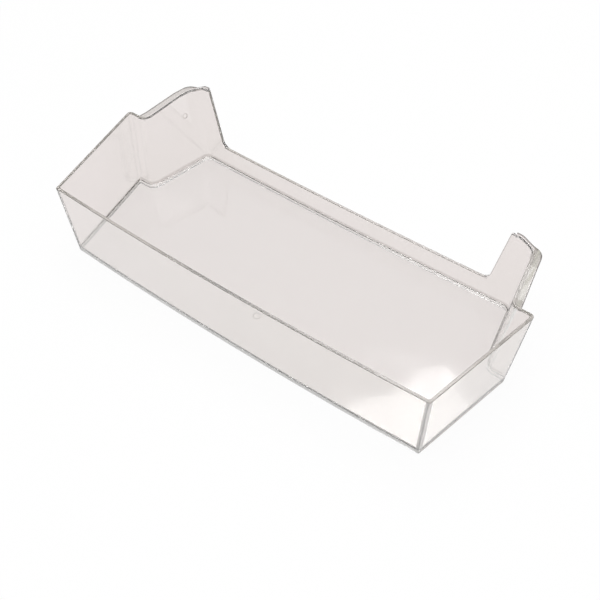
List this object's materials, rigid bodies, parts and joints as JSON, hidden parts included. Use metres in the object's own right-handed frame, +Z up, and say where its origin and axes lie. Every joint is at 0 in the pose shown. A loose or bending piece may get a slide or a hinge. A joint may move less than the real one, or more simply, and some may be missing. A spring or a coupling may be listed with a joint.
{
  "type": "fridge door shelf",
  "caption": "Clear moulded fridge door shelf: an open tray whose ends flare, step in and taper to a low back rail between tall ears.",
  "frame": {"origin": "under the middle of the shelf's box, on the plane that it stands on", "axes": "+X along the shelf's width, +Y from the front wall to the back, +Z up"},
  "size_m": [0.4, 0.1684, 0.0835],
  "materials": {
    "clear_plastic": "clear, polished"
  },
  "bodies": {
    "root": {"door_shelf": "clear_plastic"}
  },
  "joints": []
}
